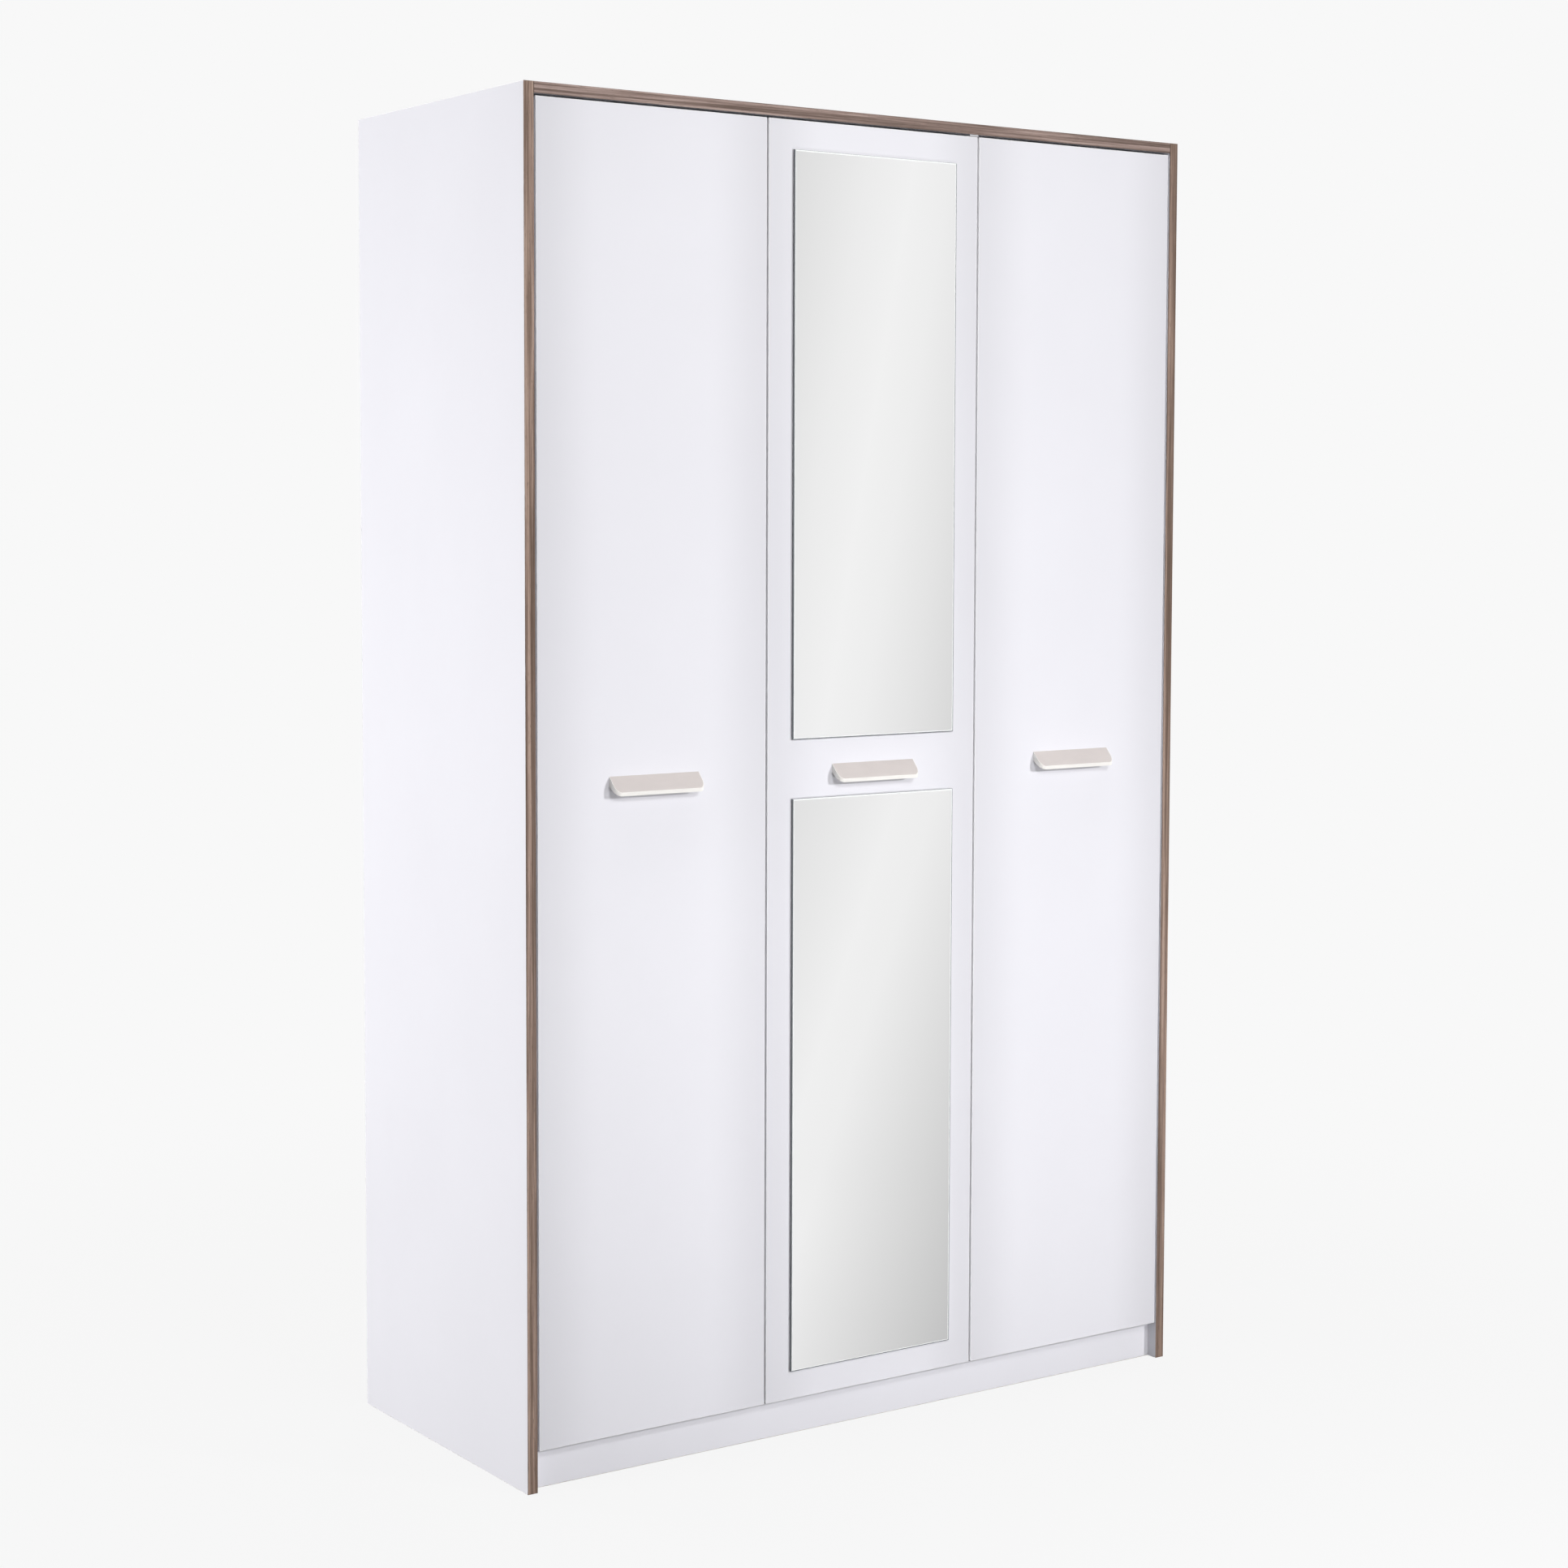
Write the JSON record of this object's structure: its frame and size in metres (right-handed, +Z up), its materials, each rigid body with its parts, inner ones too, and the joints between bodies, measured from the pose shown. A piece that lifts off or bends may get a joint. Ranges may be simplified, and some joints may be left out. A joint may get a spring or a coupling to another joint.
{
  "type": "wardrobe",
  "caption": "Tall white hinged-door wardrobe with wood-grain front edges, mirrors on the middle door, hanging space and shelves inside.",
  "frame": {"origin": "middle of the footprint on the floor, the footprint taken over the cabinet and the handles", "axes": "+X to the right seen from the front, +Y to the back, +Z up; the doors face -Y"},
  "size_m": [1.2, 0.529, 1.98],
  "materials": {
    "white_board": "white melamine-faced board with a faint satin pearl texture",
    "grain_band": "taupe wood-grain edge band, matt, grain along the edge",
    "back_board": "thin hardboard, white lacquered inside, brown fibre outside",
    "moulded_plastic": "off-white moulded plastic, satin",
    "cap_plastic": "white plastic, satin",
    "zinc_steel": "bright zinc plate",
    "nickel_steel": "nickel-plated pressed steel",
    "chrome": "polished chrome",
    "beech": "fluted beech dowel, raw",
    "soft_pad": "translucent soft plastic",
    "mirror_glass": "silvered float glass with a ground and polished edge",
    "foam_tape": "dark foam tape"
  },
  "bodies": {
    "cabinet": {"left_side": "white_board", "right_side": "white_board", "top_panel": "white_board", "bottom_panel": "white_board", "plinth": "white_board", "partition": "white_board", "left_edge_band": "grain_band", "right_edge_band": "grain_band", "top_edge_band": "grain_band", "back_panel_left": "back_board", "back_panel_right": "back_board", "hat_shelf": "white_board", "shelf_1": "white_board", "shelf_2": "white_board", "shelf_3": "white_board", "shelf_4": "white_board", "shelf_pins": "zinc_steel", "hanging_rail": "chrome", "rail_sockets": "chrome", "rail_screws": "zinc_steel", "cam_bolts": "zinc_steel", "cam_locks": "zinc_steel", "cam_caps": "cap_plastic", "dowels": "beech", "back_nails": "zinc_steel", "hinge_arms": "nickel_steel", "hinge_plates": "nickel_steel", "hinge_plate_screws": "zinc_steel", "hinge_arm_screws": "zinc_steel", "door_bumpers": "soft_pad", "top_spacer": "cap_plastic"},
    "left_door": {"door_left": "white_board", "hinge_cups_left": "nickel_steel", "hinge_pins_left": "zinc_steel", "cup_screws_left": "zinc_steel", "handle_left": "moulded_plastic", "handle_screws_left": "zinc_steel"},
    "middle_door": {"door_middle": "white_board", "hinge_cups_middle": "nickel_steel", "hinge_pins_middle": "zinc_steel", "cup_screws_middle": "zinc_steel", "handle_middle": "moulded_plastic", "handle_screws_middle": "zinc_steel", "mirror_upper": "mirror_glass", "mirror_lower": "mirror_glass", "mirror_tape": "foam_tape"},
    "right_door": {"door_right": "white_board", "hinge_cups_right": "nickel_steel", "hinge_pins_right": "zinc_steel", "cup_screws_right": "zinc_steel", "handle_right": "moulded_plastic", "handle_screws_right": "zinc_steel"}
  },
  "joints": [
    {"name": "left_door_hinge", "type": "hinge", "parent": "cabinet", "child": "left_door", "pos_m": [-0.57, -0.2365, 0.99], "axis": [0, 0, -1], "range_deg": [0, 95]},
    {"name": "middle_door_hinge", "type": "hinge", "parent": "cabinet", "child": "middle_door", "pos_m": [0.18167, -0.2365, 0.99], "axis": [0, 0, 1], "range_deg": [0, 95]},
    {"name": "right_door_hinge", "type": "hinge", "parent": "cabinet", "child": "right_door", "pos_m": [0.57, -0.2365, 0.99], "axis": [0, 0, 1], "range_deg": [0, 95]}
  ]
}
